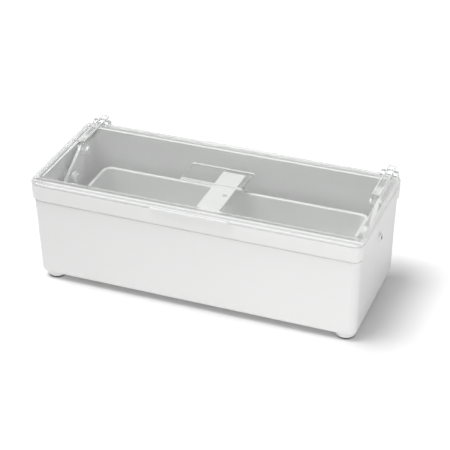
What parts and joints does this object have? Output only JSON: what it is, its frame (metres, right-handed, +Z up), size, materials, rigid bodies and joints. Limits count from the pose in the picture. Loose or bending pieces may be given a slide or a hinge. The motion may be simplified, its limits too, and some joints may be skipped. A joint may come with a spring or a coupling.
{
  "type": "disinfection tray",
  "caption": "White plastic disinfection bath with a clear hinged lid that raises a perforated insert tray with a bridge handle on lift plates at its ends, for soaking instruments.",
  "frame": {"origin": "on the standing surface, under the middle of the whole object's box", "axes": "+X along the bath, +Y towards the hinge side, +Z up"},
  "size_m": [0.34, 0.1544, 0.1154],
  "materials": {
    "white_plastic": "satin",
    "clear_plastic": "clear gloss",
    "grey_plastic": "satin",
    "slide_plastic": "satin",
    "rubber": "matt",
    "steel": "stainless"
  },
  "bodies": {
    "bath": {"tub": "white_plastic", "front_left_foot": "rubber", "front_right_foot": "rubber", "rear_left_foot": "rubber", "rear_right_foot": "rubber", "left_hinge_bracket": "clear_plastic", "right_hinge_bracket": "clear_plastic", "bracket_screws": "steel", "left_hinge_pin": "steel", "right_hinge_pin": "steel", "left_guide_screw": "steel", "right_guide_screw": "steel", "left_guide_bush": "slide_plastic", "right_guide_bush": "slide_plastic", "left_guide_nut": "white_plastic", "right_guide_nut": "white_plastic", "left_guide_seal": "slide_plastic", "right_guide_seal": "slide_plastic"},
    "lid": {"lid_panel": "clear_plastic", "left_lid_arm": "clear_plastic", "right_lid_arm": "clear_plastic", "left_lift_pin": "white_plastic", "right_lift_pin": "white_plastic", "pin_clips": "steel"},
    "left_lifter": {"left_lift_plate": "grey_plastic"},
    "right_lifter": {"right_lift_plate": "grey_plastic"},
    "tray": {"insert_tray": "grey_plastic", "bridge_handle": "white_plastic", "bridge_screws": "steel", "left_tray_runner": "slide_plastic", "right_tray_runner": "slide_plastic", "runner_screws": "steel"}
  },
  "joints": [
    {"name": "lid_hinge", "type": "hinge", "parent": "bath", "child": "lid", "pos_m": [0, 0.06725, 0.11], "axis": [-1, 0, 0], "range_deg": [0, 90]},
    {"name": "left_lift_pivot", "type": "hinge", "parent": "lid", "child": "left_lifter", "pos_m": [-0.1584, 0.02125, 0.102], "axis": [-1, 0, 0], "range_deg": [-90, 0]},
    {"name": "right_lift_pivot", "type": "hinge", "parent": "lid", "child": "right_lifter", "pos_m": [0.1584, 0.02125, 0.102], "axis": [-1, 0, 0], "range_deg": [-90, 0]},
    {"name": "tray_slide", "type": "slide", "parent": "left_lifter", "child": "tray", "axis": [0, 1, 0], "range_m": [-0.03, 0]}
  ],
  "couplings": [
    {"joint": "left_lift_pivot", "follows": "lid_hinge", "ratio": -1},
    {"joint": "right_lift_pivot", "follows": "lid_hinge", "ratio": -1},
    {"joint": "tray_slide", "follows": "lid_hinge", "m_per_rad": -0.019098}
  ]
}
